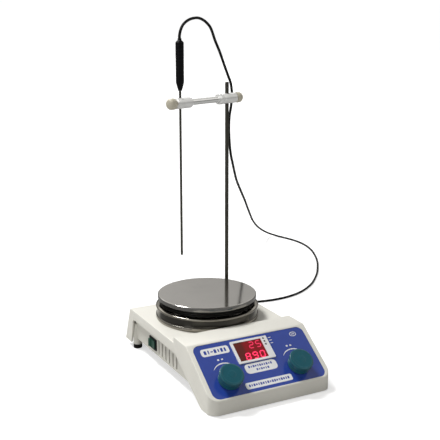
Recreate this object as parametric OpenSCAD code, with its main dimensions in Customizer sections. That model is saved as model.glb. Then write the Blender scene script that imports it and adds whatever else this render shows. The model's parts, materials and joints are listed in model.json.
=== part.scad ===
// Hotplate magnetic stirrer with a rod-mounted temperature probe.
// Origin: on the table, under the middle of the control panel's display and of the heating plate.
// +X is the casing's right, +Y its rear, +Z up. Millimetres.

/* [Casing] */
// Width of the casing
case_w = 165; // [159:1:176]
// Height of the casing's flat top above the table
top_z = 56.5; // [54:0.5:60]
// Height of the raised front housing above the flat top
step_h = 7.5; // [5:0.5:9]
// Wall thickness of the upper cover
cover_t = 2.2; // [1.8:0.1:2.6]
// Radius of the casing's front corners, seen from above
front_r = 12; // [8:1:18]

/* [Heating plate] */
// Diameter of the heated top plate
plate_d = 130; // [124:1:132]
// Diameter of the polished bowl under the plate
bowl_d = 135.4; // [134:0.2:136]
// Height of the plate's working surface above the casing's flat top
plate_rise = 31.5; // [30:0.5:34]

/* [Controls] */
// Diameter of each control knob
knob_d = 30; // [24:1:32]
// Height of each control knob
knob_h = 13; // [11:0.5:18]
// Distance of each knob from the casing's middle
knob_x = 47.5; // [46:0.5:50]

/* [Probe stand] */
// Diameter of the support rod
rod_d = 5; // [4:0.5:6]
// Height of the support rod's top above the table
rod_top = 357.8; // [353:0.1:380]
// Distance from the support rod to the probe
arm_len = 92.5; // [80:0.5:110]
// Angle between the clamp arm and the casing's width
arm_a = 22.4; // [10:0.1:30]
// Diameter of the probe's steel sheath
probe_d = 3; // [2:0.5:4]
// Height of the probe's tip above the table
tip_z = 138; // [138:1:180]

/* [Hidden] */
$fn = 64;
eps = 0.01;
fit = 0.05;   // running clearance on a radius
gap = 0.35;   // clearance between parts that move past each other

// Casing, in side view
half_w = case_w / 2;
case_mid = 1.5; // the casing's middle, right of the plate's
front_y = -130;
rear_y = 130;
rear_top_y = 111.5;
step_y = -30;
brow_y = -64.5;
lip_z = 18.8;
chin_z = 1;
leg_z = 8;
band_z = 43.5;
raised_z = top_z + step_h;
slope_a = atan2(raised_z - lip_z, brow_y - front_y);
rear_a = atan2(rear_y - rear_top_y, top_z - leg_z);
rear_mid_y = (rear_y + rear_top_y) / 2;
rear_mid_z = (top_z + leg_z) / 2;

// Lower chassis
recess = 5.5;
chassis_w = case_w - 2 * recess;
chassis_left = case_mid - chassis_w / 2;
chassis_t = 2;
chassis_z = 15.5;
chassis_top = 47;
floor_z = chassis_z + chassis_t;
chassis_end = 105;
floor_end = 90;
foot_y = [107, -112];
foot_x = [74, 61.5]; // from the casing's middle
foot_r = 6;
foot_h = [6, 3];
vent_y = 25.4;
vent_z = 18.5;
vent_pitch = 10.8;

// Control panel, in its own plane: x across, s down from the brow
panel_w = 153;
panel_s = [3, 77.5];
panel_t = 1;
panel_sink = 1.3;
knob_s = 56;
display_w = 50.5;
display_s = [7, 38.8];
display_x = -0.7;
window_w = 38.5;
window_h = 28.5;
window_x = -3.3;
display_mid = (display_s[0] + display_s[1]) / 2;
display_h = display_s[1] - display_s[0];
display_cut = [display_w - 2.8, display_h - 2.6];
lamp_x = 19.6;
lamp_s = [10.3, 14.6, 18.9];
lamp_r = 1.3;
shaft_d = 6;

// Plate stack
plate_y = 39;
bowl_top = top_z + 18;
collar_top = top_z + 25.8;
plate_top = top_z + plate_rise;

// Drive
motor_z = 22;
motor_h = 26;
motor_r = 18;
carrier_z = collar_top - 8;
carrier_r = 22;

// Stand and clamp
rod_x = 58;
rod_y = 92.5;
rod_foot = 37.5;
arm_z = 336;
probe_x = rod_x - arm_len * cos(arm_a);
probe_y = rod_y - arm_len * sin(arm_a);
boss_r = 6.9;
cross_r = 4;
handle_z = 351.5;
handle_top = 413;
relief_top = 416;

// Switch on the left wall
switch_y = 44.5;
switch_z = 28.5;

// Rear fittings, along the rear wall
inlet_x = -42;
fuse_x = -8;
socket_x = 30;

// Cable: radius, and points along its route from the probe to its plug. The first and last points
// only set its direction where it leaves the handle and enters the plug.
cable_r = 1.8;
arch_route = [[-27.5, 57.3, 413], [-27.5, 57.3, 416], [-27.5, 57.3, 419], [-25.6, 58.2, 425.5],
              [-20.5, 61, 432.5], [-12, 65, 437.6], [-3, 69, 440], [6, 73.5, 440.5], [15, 78.5, 438.5],
              [24, 83.5, 434], [32, 88, 427], [41, 94, 412], [50, 98, 397],
              [58, 102, 382], [65.5, 105.5, 368], [72, 108, 355], [75, 110, 343]];
drop_route = [[75.5, 111, 334], [74.5, 111.5, 322], [73, 113, 309], [74, 116, 294], [79, 124, 275]];
run_route = [[88, 137, 254], [104, 158, 230], [127, 190, 203], [158, 232, 176], [195, 284, 147],
             [237, 346, 115], [289, 421, 75], [336, 485, 44], [371, 524, 23], [395, 541, 10],
             [410, 538, 3.8], [418, 524, 1.9], [424, 503, 1.9], [428, 477, 1.9], [426, 446, 1.9],
             [417, 411, 1.9], [400, 372, 1.9], [381, 337, 1.9], [362, 308, 1.9], [342, 280, 1.9],
             [320, 254, 1.9], [299, 232, 1.9], [278, 215, 1.9], [258, 202, 1.9], [237, 193, 1.9],
             [215, 188, 1.9], [190, 187, 1.9], [165, 191, 1.9], [138, 196, 1.9], [112, 200, 2.4],
             [88, 203, 7], [66, 201, 17], [48, 193, 30], [37, 181, 41], [31.5, 170, 45.5]];
plug_len = 39.6;
plug_mouth = [socket_x, rear_mid_y + plug_len * cos(rear_a), rear_mid_z + plug_len * sin(rear_a)];
plug_dir = [0, cos(rear_a), sin(rear_a)];
cable_start = concat(smooth(arch_route, 2), smooth(drop_route, 2));
cable_path = concat(cable_start, run_route,
                    [plug_mouth + 2 * plug_dir, plug_mouth, plug_mouth - 2 * plug_dir]);
arch_end = 2 * (len(arch_route) - 1);
drop_end = len(cable_start) - 1;

// ---------- helpers ----------

// Extrudes a side view, drawn as (y, z), across the casing's width
module across(w) {
    translate([case_mid, 0, 0]) rotate([90, 0, 90]) linear_extrude(w, center = true) children();
}

// Places children in the control panel's plane: +X right, -Y down the slope, +Z out
module on_panel(x = 0, s = 0, h = 0) {
    translate([0, brow_y, raised_z]) rotate([slope_a, 0, 0]) translate([x, -s, h]) children();
}

// Places children on the rear wall: +X right, +Y down the wall, +Z out
module on_rear(x = 0, v = 0, h = 0) {
    translate([0, rear_mid_y, rear_mid_z]) rotate([rear_a - 90, 0, 0]) translate([x, v, h]) children();
}

// Places children along the clamp arm: +Z from the probe's side out past the rod
module on_arm(d = 0) {
    translate([rod_x, rod_y, arm_z]) rotate([0, 0, arm_a]) rotate([0, 90, 0]) translate([0, 0, d]) children();
}

// Places children at a foot: i is 0 for the rear pair, x is -1 for the left
module at_foot(i, x) {
    translate([case_mid + x * foot_x[i], foot_y[i], 0]) children();
}

// Rectangle with round corners, centred
module round_rect(w, h, r) {
    for (x = [-1, 1], y = [-1, 1]) translate([x * (w / 2 - r), y * (h / 2 - r)]) circle(r);
    square([w - 2 * r, h], center = true);
    square([w, h - 2 * r], center = true);
}

module ring(r_out, r_in, h) {
    difference() {
        cylinder(r = r_out, h = h);
        translate([0, 0, -1]) cylinder(r = r_in, h = h + 2);
    }
}

// Points of a corner rounded with radius r, between the unit directions to its neighbours
function unit(v) = v / norm(v);
function corner(p, a, b, r, n = 5) =
    let (u = unit(a - p), v = unit(b - p), half = acos(max(-1, min(1, u * v))) / 2,
         back = r / tan(half), c = p + unit(u + v) * r / sin(half),
         from = p + u * back - c, to = p + v * back - c, turn = 180 - 2 * half,
         way = sign(from[0] * to[1] - from[1] * to[0]))
    [for (i = [0:n]) let (t = way * turn * i / n)
        c + [from[0] * cos(t) - from[1] * sin(t), from[0] * sin(t) + from[1] * cos(t)]];
function rounded(path) =
    [for (i = [0:len(path) - 1])
        let (n = len(path), p = path[i], a = path[(i + n - 1) % n], b = path[(i + 1) % n])
        each p[2] > 0
            ? corner([p[0], p[1]], [a[0], a[1]], [b[0], b[1]], p[2])
            : [[p[0], p[1]]]];

// Smooth points through a route
function spline(p0, p1, p2, p3, t) =
    0.5 * (2 * p1 + (p2 - p0) * t + (2 * p0 - 5 * p1 + 4 * p2 - p3) * t * t
           + (3 * p1 - p0 - 3 * p2 + p3) * t * t * t);
function smooth(route, k) =
    let (n = len(route) - 1)
    [for (i = [0:n - 1], j = [0:k - 1])
        spline(route[max(i - 1, 0)], route[i], route[i + 1], route[min(i + 2, n)], j / k),
     route[n]];

// Sweeps a tube along points a to b of a path; rings face along it and are turned with it
function heading(path, i) = unit(path[min(i + 1, len(path) - 1)] - path[max(i - 1, 0)]);
function turned(u, dir) = unit(u - dir * (u * dir));
function sides_of(path, i, u) =
    i == len(path) ? [] : let (w = turned(u, heading(path, i))) concat([w], sides_of(path, i + 1, w));
module tube(path, r, a = 0, b = -1, sides = 8) {
    side = sides_of(path, 0, [0.8, 0.6, 0]);
    end = b < 0 ? len(path) - 1 : b;
    points = [for (i = [a:end]) let (u = side[i], v = cross(heading(path, i), u))
              for (k = [0:sides - 1]) let (t = 360 * k / sides) path[i] + r * (u * cos(t) + v * sin(t))];
    walls = [for (i = [0:end - a - 1], k = [0:sides - 1])
             let (m = (k + 1) % sides, p = i * sides, q = p + sides) [p + k, q + k, q + m, p + m]];
    first = [for (k = [0:sides - 1]) k];
    last = [for (k = [sides - 1:-1:0]) (end - a) * sides + k];
    polyhedron(points, concat(walls, [first, last]), convexity = 10);
}

// ---------- casing ----------

// Side view of the cover's inside, drawn on down below the table
module cover_inside() {
    below = -4;
    rear_in = cover_t / cos(rear_a);
    slope_in = cover_t * tan(slope_a / 2);
    polygon(rounded([
        [front_y + cover_t, below, 0],
        [front_y + cover_t, lip_z - cover_t * tan(45 - slope_a / 2), 2.5],
        [brow_y + slope_in, raised_z - cover_t, 9],
        [step_y - cover_t, raised_z - cover_t, 1.2],
        [step_y - cover_t, top_z - cover_t, 0],
        [rear_top_y - rear_in * 1.1, top_z - cover_t, 1],
        [rear_y - rear_in + tan(rear_a) * (leg_z - below), below, 0]]));
}

// Plan of the casing with round front corners, shrunk by t
module cover_plan(t = 0) translate([case_mid, front_y + t]) {
    r = front_r - t;
    w = half_w - t;
    translate([-w, r]) square([2 * w, rear_y - front_y - 2 * t - r]);
    translate([-w + r, 0]) square([2 * (w - r), r + 1]);
    for (x = [-1, 1]) translate([x * (w - r), r]) circle(r);
}

// Side view of the opening under the band, between the rear leg and the front housing
module recess_side() {
    polygon([[109.5 + 2, -4], [109.5, leg_z], [101, band_z], [-33.3, band_z],
             [-104, chin_z], [-104 - 8.4, -4]]);
}

module upper_cover() color("ivory") difference() {
    intersection() {
        across(case_w) polygon(rounded([
            [front_y, chin_z, 0], [front_y, lip_z, 2.5], [brow_y, raised_z, 9],
            [step_y, raised_z, 1.2], [step_y, top_z, 0], [rear_top_y, top_z, 3],
            [rear_y, leg_z, 0], [-104, chin_z, 0]]));
        translate([0, 0, -1]) linear_extrude(raised_z + 5) cover_plan();
    }
    intersection() {
        across(case_w - 2 * cover_t) cover_inside();
        translate([0, 0, -9]) linear_extrude(raised_z + 9) cover_plan(cover_t);
    }
    across(case_w + 2) recess_side();
    // Seat and openings for the control panel and what passes through it
    on_panel(case_mid, (panel_s[0] + panel_s[1]) / 2, -panel_sink) linear_extrude(9)
        round_rect(panel_w + 0.6, panel_s[1] - panel_s[0] + 0.6, 9);
    on_panel(display_x, display_mid, -9) linear_extrude(10) square(display_cut, center = true);
    for (x = [-1, 1]) on_panel(x * knob_x, knob_s, -9) cylinder(r = 4.5, h = 10);
    // Drive shaft, sensor lead and pillar screws pass up into the bowl
    translate([0, plate_y, top_z - 9]) cylinder(r = 10, h = 20);
    translate([35, plate_y, top_z - 9]) cylinder(r = 4, h = 20);
    // Support rod
    translate([rod_x, rod_y, top_z - 9]) cylinder(d = rod_d + 0.4, h = 20);
    // Window in the rear wall, behind the rear panel
    on_rear(case_mid, 0, -9) linear_extrude(10) square([118, 30], center = true);
    on_rear(case_mid, 0, -1.2) linear_extrude(9) round_rect(130.4, 38.4, 3);
}

// Side view of the chassis, shrunk by t and open at the top
module chassis_side(t = 0) {
    up = t > 0 ? 40 : 0;
    drop = t / tan(75);
    end = t > 0 ? chassis_end + 10 : chassis_end;
    polygon([[front_y + 4.5 + t, 3 + t], [front_y + 4.5 + t, 14 + up], [-112 - t, 14 + up],
             [-60, chassis_top + up], [end, chassis_top + up], [end, chassis_z + t],
             [-81 + drop, chassis_z + t], [-101.8 + drop, 3 + t]]);
}

module chassis_plan(t = 0) translate([case_mid, front_y + 4.5 + t]) {
    w = chassis_w / 2 - t;
    r = 8 - t;
    translate([-w, r]) square([2 * w, 240]);
    translate([-w + r, 0]) square([2 * (w - r), r + 1]);
    for (x = [-1, 1]) translate([x * (w - r), r]) circle(r);
}

module lower_chassis() color("gainsboro") difference() {
    union() {
        difference() {
            intersection() {
                across(chassis_w) chassis_side();
                linear_extrude(80) chassis_plan();
            }
            intersection() {
                across(chassis_w - 2 * chassis_t) chassis_side(chassis_t);
                linear_extrude(90) chassis_plan(chassis_t);
            }
        }
        // Foot posts at the rear corners, joined to the side walls
        for (x = [-1, 1]) at_foot(0, x) translate([0, 0, foot_h[0]]) cylinder(r = foot_r, h = 30);
    }
    // The floor stops short of the rear fittings
    translate([case_mid - 67.5, floor_end, chassis_z - 5]) cube([135, 40, 20]);
    // Six vents in each side wall
    for (x = [-1, 1], i = [0:5])
        translate([case_mid + x * chassis_w / 2 - 5, vent_y - i * vent_pitch, vent_z])
            cube([10, 3.2, 20.5 - i * 0.7]);
    // Switch opening in the left wall
    translate([chassis_left - 5, switch_y - 9.6, switch_z - 6.6]) cube([10, 19.2, 13.2]);
    // Screw holes for the feet
    for (i = [0, 1], x = [-1, 1]) at_foot(i, x) cylinder(r = 1.5, h = 20);
}

module rear_panel() color("silver") difference() {
    on_rear(case_mid, 0, -1.2) linear_extrude(1.2) round_rect(130, 38, 3);
    on_rear(inlet_x, 0, -3) linear_extrude(6) square([27.4, 19.4], center = true);
    on_rear(fuse_x, 0, -3) cylinder(r = 6.1, h = 6);
    on_rear(socket_x, 0, -3) cylinder(r = 7.1, h = 6);
}

module rubber_feet() color("black")
    for (i = [0, 1], x = [-1, 1]) at_foot(i, x) difference() {
        cylinder(r = foot_r, h = foot_h[i]);
        translate([0, 0, foot_h[i] - 1.5]) cylinder(r = 1.6, h = 4);
        translate([0, 0, -1]) cylinder(r = 2.6, h = foot_h[i] - 0.5);
    }

module case_screws() color("silver")
    for (i = [0, 1], x = [-1, 1]) at_foot(i, x) {
        translate([0, 0, foot_h[i] - 2.3]) cylinder(r = 2.4, h = 0.8);
        translate([0, 0, foot_h[i] - 1.5]) cylinder(r = 1.4, h = 9);
    }

// ---------- control panel ----------

module control_panel() color("mediumblue") on_panel(0, 0, -panel_sink) linear_extrude(panel_t)
    difference() {
        translate([case_mid, -(panel_s[0] + panel_s[1]) / 2])
            round_rect(panel_w, panel_s[1] - panel_s[0], 8.7);
        translate([display_x, -display_mid]) square(display_cut, center = true);
        for (x = [-1, 1]) translate([x * knob_x, -knob_s]) circle(4.5);
    }

module display_bezel() color("white") on_panel(display_x, display_mid, 0) difference() {
    union() {
        translate([0, 0, panel_t - panel_sink]) linear_extrude(1.4) round_rect(display_w, display_h, 1);
        translate([0, 0, -6]) linear_extrude(6) square([display_w - 3.4, display_h - 3.2], center = true);
    }
    translate([window_x - display_x, 0, -7]) linear_extrude(12)
        square([window_w, window_h - 2], center = true);
    for (s = lamp_s) translate([lamp_x - display_x, display_mid - s, -7]) cylinder(r = lamp_r + fit, h = 12);
}

module display_window() color("darkred") on_panel(window_x, display_mid, -2) linear_extrude(2.6)
    square([window_w - 0.2, window_h - 2.2], center = true);

module digit_modules() color("dimgray")
    for (i = [-1, 1]) on_panel(window_x + 4, display_mid + i * 6.4, -7.2) linear_extrude(5)
        square([29, 12.2], center = true);

module indicator_lamps() color("darkslategray")
    for (s = lamp_s) on_panel(lamp_x, s, -7.2) {
        cylinder(r = lamp_r, h = 7.5);
        translate([0, 0, 7.5]) intersection() {
            sphere(lamp_r);
            cylinder(r = 3, h = 3);
        }
    }

module display_board() color("darkgreen") on_panel(display_x, 26, -8.8) difference() {
    linear_extrude(1.6) square([62, 46], center = true);
    for (x = [-28, 28], y = [-20, 20]) translate([x, y, -1]) cylinder(r = 1.3, h = 4);
}

module potentiometers() color("slategray")
    for (x = [-1, 1]) on_panel(x * knob_x, knob_s, -12.5) difference() {
        union() {
            cylinder(r = 8.2, h = 8.8);
            cylinder(r = 4, h = 13.2);
        }
        translate([0, 0, -1]) cylinder(d = shaft_d + 2 * fit, h = 20);
    }

module potentiometer_nuts() color("silver")
    for (x = [-1, 1]) on_panel(x * knob_x, knob_s, -panel_sink + panel_t) difference() {
        cylinder(r = 6, h = 1, $fn = 6);
        translate([0, 0, -1]) cylinder(r = 4, h = 4);
    }

module pot_shaft(x) on_panel(x, knob_s, -11) cylinder(d = shaft_d, h = 18);

// A thimble-shaped knob: broad domed cap, waisted body, hollow underneath
module knob(x) on_panel(x, knob_s, 0.4) difference() {
    rotate_extrude() {
        difference() {
            polygon(rounded([[0, 0, 0], [knob_d / 2 - 1.2, 0, 0.8], [knob_d / 2 - 2.4, 5, 0],
                             [knob_d / 2 - 1.8, knob_h - 5.4, 0.8], [knob_d / 2, knob_h - 4.6, 0.8],
                             [knob_d / 2, knob_h - 0.8, 1.2], [knob_d / 2 - 4, knob_h, 1.5],
                             [0, knob_h, 0]]));
            translate([0, -1]) square([7.5, 4.2]);
        }
    }
    cylinder(d = shaft_d, h = 6.6);
}

module speed_shaft() color("silver") pot_shaft(-knob_x);
module speed_knob() color("teal") knob(-knob_x);
module temperature_shaft() color("silver") pot_shaft(knob_x);
module temperature_knob() color("teal") knob(knob_x);

// ---------- power switch ----------

switch_face_x = chassis_left;
rocker_pivot_x = switch_face_x - 0.6;
rocker_tilt = 8;

module switch_frame() color("black") difference() {
    union() {
        translate([switch_face_x - 1.6, switch_y - 10.5, switch_z - 7.5]) cube([1.6, 21, 15]);
        translate([switch_face_x - eps, switch_y - 9.5, switch_z - 6.5]) cube([16, 19, 13]);
        for (i = [-1:1]) translate([switch_face_x + 15, switch_y + i * 6 - 0.4, switch_z - 2.4])
            cube([7, 0.8, 4.8]);
    }
    translate([switch_face_x - 5, switch_y - 8.2, switch_z - 5.5]) cube([15, 16.4, 11]);
    translate([rocker_pivot_x, switch_y, switch_z - 6]) cylinder(r = 0.8 + fit, h = 12);
}

// Paddle that tips about an upright pin, shown with its front end pressed in
module switch_rocker() color("seagreen")
translate([rocker_pivot_x, switch_y, switch_z]) rotate([0, 0, rocker_tilt]) {
    difference() {
        translate([0, 0, -5.2]) cylinder(r = 7.9, h = 10.4);
        for (m = [0, 1]) mirror([0, m, 0]) rotate([0, 0, rocker_tilt + 1]) translate([-12.2, -2, -7])
            cube([10, 14, 14]);
        translate([2.4, -10, -7]) cube([12, 20, 14]);
    }
    translate([0, 0, -5.9]) cylinder(r = 0.8, h = 11.8);
}

// ---------- heating plate ----------

module hot_plate() color("silver") translate([0, plate_y, 0]) rotate_extrude($fn = 96) {
    r = plate_d / 2;
    polygon(rounded([[0, plate_top - 1.6, 0], [r - 1.6, plate_top - 1.6, 0.6], [r - 1.6, collar_top + 0.8, 0],
                     [r, collar_top, 0.5], [r, plate_top, 1.9], [0, plate_top, 0]]));
}

module heating_element() color("dimgray") translate([0, plate_y, 0]) difference() {
    translate([0, 0, collar_top + 0.3]) cylinder(r = 61, h = plate_top - 1.6 - collar_top - 0.3, $fn = 96);
    translate([0, 0, collar_top - 1]) cylinder(r = carrier_r + 3, h = 20);
}

module insulation_disc() color("beige") translate([0, plate_y, 0]) difference() {
    translate([0, 0, collar_top - 4]) cylinder(r = 51.5, h = 4);
    translate([0, 0, collar_top - 9]) cylinder(r = carrier_r + 3, h = 20);
    translate([35, 0, collar_top - 9]) cylinder(r = 2.4, h = 20);
}

// Dark ring that sets the hot plate back from the bowl, with two thin fins
module plate_collar() color("dimgray") translate([0, plate_y, 0]) rotate_extrude($fn = 96)
    polygon([[52, bowl_top], [60.5, bowl_top], [60.5, bowl_top + 1.6], [62.6, bowl_top + 1.6],
             [62.6, bowl_top + 2.2], [60.5, bowl_top + 2.2], [60.5, bowl_top + 4], [63.4, bowl_top + 4],
             [63.4, bowl_top + 4.6], [61, bowl_top + 4.6], [61, collar_top], [52, collar_top]]);

// Polished bowl standing on the casing: a base band, a wall that leans back and a rolled rim
module bowl() color("silver") translate([0, plate_y, 0]) difference() {
    rotate_extrude($fn = 96) {
        r = bowl_d / 2;
        difference() {
            polygon(rounded([[0, top_z, 0], [r - 0.4, top_z, 0.6], [r + 0.3, top_z + 2.4, 2],
                             [r - 0.1, top_z + 4.8, 0.6], [r - 1.2, top_z + 5.4, 0.3],
                             [r - 2.8, bowl_top - 3.9, 0.5], [r, bowl_top - 3.2, 0.9],
                             [r, bowl_top - 1, 1.2], [r - 3, bowl_top, 0.8], [0, bowl_top, 0]]));
            translate([0, top_z + 1.2]) square([r - 4.8, 40]);
        }
    }
    translate([0, 0, top_z - 1]) cylinder(r = 12, h = 5);
    translate([35, 0, top_z - 1]) cylinder(r = 4, h = 5);
}

module plate_pillars() color("silver")
    for (a = [45:90:315]) translate([56 * cos(a), plate_y + 56 * sin(a), top_z + 1.2])
        cylinder(r = 3, h = bowl_top - top_z - 1.2, $fn = 6);

module plate_sensor() color("lightgray") translate([35, plate_y, top_z + 3]) {
    cylinder(r = 2, h = collar_top - top_z - 3 + 0.3);
    translate([0, 0, -14]) cylinder(r = 1, h = 14);
}

// ---------- drive ----------

module stirring_motor() color("dimgray") translate([0, plate_y, motor_z]) difference() {
    union() {
        cylinder(r = motor_r, h = motor_h);
        translate([0, 0, motor_h]) cylinder(r = 6, h = 2.5);
        translate([0, 0, -2]) cylinder(r = 5, h = 2);
    }
    translate([0, 0, -3]) cylinder(r = 2.5 + fit, h = 40);
}

module motor_bracket() color("silver") difference() {
    union() {
        translate([-27, plate_y - 20, motor_z + motor_h]) cube([54, 40, 1.6]);
        for (x = [-27, 25.4]) translate([x, plate_y - 20, motor_z + motor_h])
            cube([1.6, 40, top_z - cover_t - motor_z - motor_h]);
    }
    translate([0, plate_y, 0]) cylinder(r = 6.2, h = 80);
    for (a = [45:90:315]) translate([12 * cos(a), plate_y + 12 * sin(a), 0]) cylinder(r = 1.6, h = 80);
}

module bracket_screws() color("silver")
    for (a = [45:90:315]) translate([12 * cos(a), plate_y + 12 * sin(a), motor_z + motor_h + 1.6])
        cylinder(r = 2.6, h = 1.6);

module motor_shaft() color("lightgray") translate([0, plate_y, motor_z - 1])
    cylinder(r = 2.5, h = carrier_z + 6 - motor_z + 1);

module magnet_carrier() color("darkgray") translate([0, plate_y, carrier_z]) difference() {
    union() {
        cylinder(r = carrier_r, h = 8);
        translate([0, 0, -7]) cylinder(r = 6, h = 7);
    }
    translate([0, 0, -8]) cylinder(r = 2.5, h = 14);
    for (x = [-1, 1]) translate([x * 13, 0, 2]) cylinder(r = 6.5, h = 10);
}

module drive_magnets() color("gray")
    for (x = [-1, 1]) translate([x * 13, plate_y, carrier_z + 2]) cylinder(r = 6.5, h = 6.2);

// ---------- electronics ----------

board_z = floor_z + 6;

module control_board() color("darkgreen") difference() {
    translate([-66, -52, board_z]) cube([74, 56, 1.6]);
    for (x = [-62, 4], y = [-48, 0]) translate([x, y, board_z - 1]) cylinder(r = 1.5, h = 4);
}

module board_pillars() color("silver")
    for (x = [-62, 4], y = [-48, 0]) translate([x, y, floor_z])
        cylinder(r = 2.6, h = board_z - floor_z, $fn = 6);

module transformer() color("darkgoldenrod") translate([18, -46, floor_z]) {
    cube([46, 38, 8]);
    translate([4, 4, 8]) cube([38, 30, 20]);
}

module heat_sink() color("silver") translate([-60, -44, board_z + 1.6]) {
    cube([2, 34, 16]);
    for (i = [0:5]) translate([2, i * 6.4, 2]) cube([8, 2, 14]);
}

module triac() color("black") translate([-62.6, -34, board_z + 4]) cube([2.6, 10, 12]);

// ---------- rear fittings ----------

module mains_inlet() color("black") on_rear(inlet_x, 0, 0) difference() {
    union() {
        linear_extrude(2.4) round_rect(31, 23, 2);
        translate([0, 0, -20]) linear_extrude(20) square([27, 19], center = true);
    }
    translate([0, 0, -16]) linear_extrude(20) round_rect(23, 15.6, 2);
    for (x = [-7, 0, 7]) translate([x - 1, x == 0 ? -3.6 : 0.6, -22]) cube([2, 4, 10]);
}

module inlet_pins() color("silver") on_rear(inlet_x, 0, 0)
    for (x = [-7, 0, 7]) translate([x - 1, x == 0 ? -3.6 : 0.6, -24]) cube([2, 4, 19]);

module fuse_holder() color("black") on_rear(fuse_x, 0, 0) difference() {
    union() {
        cylinder(r = 8, h = 2.2);
        translate([0, 0, -24]) cylinder(r = 6, h = 24);
    }
    translate([0, 0, -22]) cylinder(r = 3.9, h = 30);
}

module fuse_link() color("lightgray") on_rear(fuse_x, 0, -20) cylinder(r = 2.6, h = 17);

module fuse_cap() color("black") on_rear(fuse_x, 0, 2.2 + gap) difference() {
    union() {
        cylinder(r = 6.6, h = 4.2);
        translate([0, 0, -4]) cylinder(r = 3.8, h = 4);
    }
    translate([-0.6, -5, 3.2]) cube([1.2, 10, 2]);
    translate([0, 0, -5]) cylinder(r = 2.8, h = 5);
}

module probe_socket() color("silver") on_rear(socket_x, 0, 0) difference() {
    union() {
        cylinder(r = 9.5, h = 1.6, $fn = 6);
        translate([0, 0, -11]) cylinder(r = 7, h = 11);
        cylinder(r = 6, h = 7);
    }
    translate([0, 0, -3]) cylinder(r = 4.6, h = 20);
}

module plug_body() color("silver") on_rear(socket_x, 0, 0) difference() {
    union() {
        translate([0, 0, -2]) cylinder(r = 4.5, h = 12);
        translate([0, 0, 7.4]) cylinder(r = 6.6, h = 3);
        translate([0, 0, 10.4]) cylinder(r = 6, h = 15);
        translate([0, 0, 25.4]) cylinder(r1 = 6, r2 = 4.2, h = 3);
        translate([0, 0, 28.4]) cylinder(r1 = 4.2, r2 = 2.3, h = plug_len - 28.4);
    }
    translate([0, 0, -3]) cylinder(r = 2.6, h = 3);
}

module plug_ring() color("darkgray") on_rear(socket_x, 0, 1.6 + gap) difference() {
    cylinder(r = 8, h = 12);
    translate([0, 0, -1]) cylinder(r = 6.6 + fit, h = 9.85);
    translate([0, 0, -1]) cylinder(r = 6 + fit, h = 16);
}

// ---------- stand and clamp ----------

module support_rod() color("dimgray") translate([rod_x, rod_y, rod_foot]) {
    cylinder(d = rod_d, h = rod_top - rod_foot - 0.5);
    translate([0, 0, rod_top - rod_foot - 0.5]) cylinder(d1 = rod_d, d2 = rod_d - 1, h = 0.5);
}

// Bush under the cover that the rod stands in, and the nut and washer on top of the cover
module rod_nut() color("silver") {
    translate([rod_x, rod_y, rod_foot - 2.5]) difference() {
        cylinder(r = 7, h = top_z - cover_t - rod_foot + 2.5);
        translate([0, 0, 2.5 - gap]) cylinder(d = rod_d + 2 * fit, h = 40);
    }
    translate([rod_x, rod_y, top_z]) difference() {
        union() {
            cylinder(r = 6.2, h = 1);
            cylinder(r = 5.2, h = 4.2, $fn = 6);
        }
        translate([0, 0, -1]) cylinder(d = rod_d + 2 * fit, h = 9);
    }
}

arm_near = 18;     // from the rod's axis to the boss's inner end
arm_far = 16.5;    // from the rod's axis to the boss's outer end
tip_near = 19;     // from the probe's axis to its boss's inner end
tip_far = 9.2;     // from the probe's axis to its boss's outer end

module rod_boss() color("gainsboro") difference() {
    union() {
        on_arm(-arm_near) cylinder(r = 7.2, h = 6);
        on_arm(-arm_near + 6) cylinder(r = boss_r - 0.8, h = 2);
        on_arm(-arm_near + 8) cylinder(r = boss_r, h = arm_near + arm_far - 9);
        on_arm(arm_far - 1) cylinder(r1 = boss_r, r2 = boss_r - 1, h = 1);
    }
    translate([rod_x, rod_y, arm_z - 20]) cylinder(d = rod_d + 2 * fit, h = 40);
    on_arm(0) cylinder(r = 2.5 + fit, h = 30);
    on_arm(-arm_near - 1) cylinder(r = cross_r, h = 9);
}

module cross_rod() color("silver") on_arm(-arm_len + tip_near - 8)
    cylinder(r = cross_r, h = arm_len - tip_near - arm_near + 16);

module probe_boss() color("gainsboro") difference() {
    union() {
        on_arm(-arm_len - tip_far + 1.5) cylinder(r = boss_r, h = tip_far + tip_near - 2.5);
        on_arm(-arm_len - tip_far) cylinder(r1 = boss_r - 1.6, r2 = boss_r, h = 1.5);
        on_arm(-arm_len + tip_near - 1) cylinder(r1 = boss_r, r2 = boss_r - 1, h = 1);
    }
    translate([probe_x, probe_y, arm_z - 20]) cylinder(d = probe_d + 2 * fit, h = 40);
    on_arm(-arm_len - 30) cylinder(r = 2.5 + fit, h = 30);
    on_arm(-arm_len + tip_near - 8) cylinder(r = cross_r, h = 9);
}

// A round moulded head with a groove round its neck, on a steel screw that grips a rod of radius r
module thumbscrew(r, face) {
    translate([0, 0, face + gap]) {
        cylinder(r = 4.6, h = 1);
        translate([0, 0, 1]) rotate_extrude() polygon(rounded([
            [0, 0, 0], [6.2, 0, 0.8], [7.2, 3, 2], [7, 8, 3], [5, 10.6, 2.5], [0, 10.9, 0]]));
    }
    translate([0, 0, r + gap]) cylinder(r = 2.5, h = face - r + 2);
}

module rod_thumbscrew() color("wheat") on_arm(0) thumbscrew(rod_d / 2, arm_far);
module probe_thumbscrew() color("wheat") on_arm(-arm_len) mirror([0, 0, 1]) thumbscrew(probe_d / 2, tip_far);

// ---------- probe and its cable ----------

module probe_sheath() color("dimgray") translate([probe_x, probe_y, tip_z]) {
    translate([0, 0, probe_d / 2]) cylinder(d = probe_d, h = handle_z + 12 - tip_z - probe_d / 2);
    translate([0, 0, probe_d / 2]) sphere(d = probe_d);
}

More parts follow.
